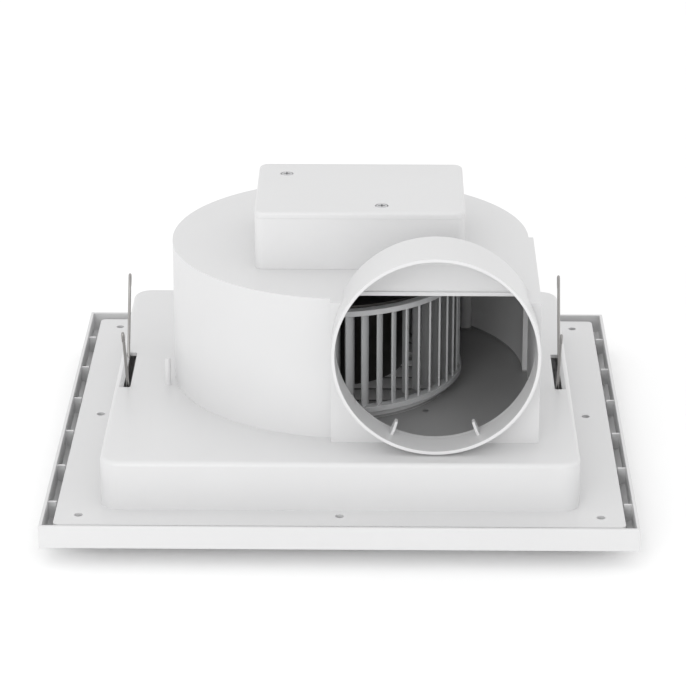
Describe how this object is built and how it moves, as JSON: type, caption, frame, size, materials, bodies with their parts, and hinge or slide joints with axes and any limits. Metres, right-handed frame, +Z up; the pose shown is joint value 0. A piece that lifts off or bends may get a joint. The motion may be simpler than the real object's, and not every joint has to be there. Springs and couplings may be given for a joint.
{
  "type": "bathroom extractor fan",
  "caption": "Square louvred ceiling grille on a raised tray, with a round centrifugal fan casing, a side duct collar, a wiring box on top and wire springs that hold the cover.",
  "frame": {"origin": "middle of the cover's lowest plane, on the surface that the fan stands on with its grille down", "axes": "+Z up, away from the room; the duct collar opens towards -Y and lies off centre towards +X"},
  "size_m": [0.3, 0.3, 0.153],
  "materials": {
    "white_abs": "satin white moulded ABS",
    "wheel_plastic": "light grey moulded plastic",
    "zinc_steel": "black zinc-plated pressed steel",
    "screw_steel": "plated steel",
    "rivet_aluminium": "plain aluminium",
    "spring_steel": "drawn spring wire",
    "stator_steel": "varnished laminations",
    "winding_copper": "enamelled copper wire",
    "bearing_bronze": "oil-filled sintered bronze",
    "terminal_brass": "plain brass",
    "black_rubber": "soft black rubber",
    "capacitor_case": "moulded plastic",
    "terminal_nylon": "natural nylon",
    "gland_nylon": "grey nylon",
    "lead_sleeve": "insulated wire"
  },
  "bodies": {
    "housing": {"bearing_lower": "bearing_bronze", "bearing_upper": "bearing_bronze", "cable_clamp": "white_abs", "cable_gland": "gland_nylon", "capacitor_clip": "zinc_steel", "casing_screws": "screw_steel", "clamp_screws": "screw_steel", "clip_screw": "screw_steel", "duct_collar": "white_abs", "end_shield_lower": "zinc_steel", "end_shield_upper": "zinc_steel", "gland_nut": "gland_nylon", "gland_plate": "white_abs", "housing_tray": "white_abs", "inlet_ring": "white_abs", "inlet_screws": "screw_steel", "lead_grommet": "black_rubber", "lid_screws": "screw_steel", "motor_bracket": "zinc_steel", "motor_leads": "lead_sleeve", "motor_screws": "screw_steel", "rubber_mounts": "black_rubber", "run_capacitor": "capacitor_case", "stator_core": "stator_steel", "stator_windings": "winding_copper", "terminal_block": "terminal_nylon", "terminal_block_screw": "screw_steel", "terminal_box": "white_abs", "terminal_box_lid": "white_abs", "terminal_box_posts": "white_abs", "terminal_box_screws": "screw_steel", "terminal_screws": "terminal_brass", "tie_bolts": "screw_steel", "volute_casing": "white_abs"},
    "rotor": {"impeller_blades": "wheel_plastic", "impeller_rings": "wheel_plastic", "impeller_cup": "zinc_steel", "cage_rivets": "rivet_aluminium", "hub_washer": "screw_steel", "hub_nut": "screw_steel", "motor_shaft": "screw_steel", "rotor_core": "stator_steel"},
    "cover": {"cover_grille": "white_abs", "spring_pins": "screw_steel", "spring_coil_left": "spring_steel", "spring_coil_right": "spring_steel"},
    "spring_arm_left_front": {"spring_arm_left_front": "spring_steel"},
    "spring_arm_left_back": {"spring_arm_left_back": "spring_steel"},
    "spring_arm_right_front": {"spring_arm_right_front": "spring_steel"},
    "spring_arm_right_back": {"spring_arm_right_back": "spring_steel"}
  },
  "joints": [
    {"name": "rotor_spin", "type": "hinge", "parent": "housing", "child": "rotor", "pos_m": [-0.0065, -0.005, 0.083], "axis": [0, 0, 1], "continuous": true},
    {"name": "cover_slide", "type": "slide", "parent": "housing", "child": "cover", "axis": [0, 0, -1], "range_m": [0, 0.04], "stiffness_N_per_m": 300, "springref_m": -0.02},
    {"name": "spring_arm_left_front_swing", "type": "hinge", "parent": "cover", "child": "spring_arm_left_front", "pos_m": [-0.116, 0, 0.0125], "axis": [1, 0, 0], "range_deg": [-20, 0]},
    {"name": "spring_arm_left_back_swing", "type": "hinge", "parent": "cover", "child": "spring_arm_left_back", "pos_m": [-0.116, 0, 0.0125], "axis": [1, 0, 0], "range_deg": [0, 20]},
    {"name": "spring_arm_right_front_swing", "type": "hinge", "parent": "cover", "child": "spring_arm_right_front", "pos_m": [0.116, 0, 0.0125], "axis": [1, 0, 0], "range_deg": [-20, 0]},
    {"name": "spring_arm_right_back_swing", "type": "hinge", "parent": "cover", "child": "spring_arm_right_back", "pos_m": [0.116, 0, 0.0125], "axis": [1, 0, 0], "range_deg": [0, 20]}
  ],
  "couplings": [
    {"joint": "spring_arm_left_front_swing", "follows": "cover_slide", "rad_per_m": -8.4},
    {"joint": "spring_arm_left_back_swing", "follows": "cover_slide", "rad_per_m": 8.4},
    {"joint": "spring_arm_right_front_swing", "follows": "cover_slide", "rad_per_m": -8.4},
    {"joint": "spring_arm_right_back_swing", "follows": "cover_slide", "rad_per_m": 8.4}
  ]
}
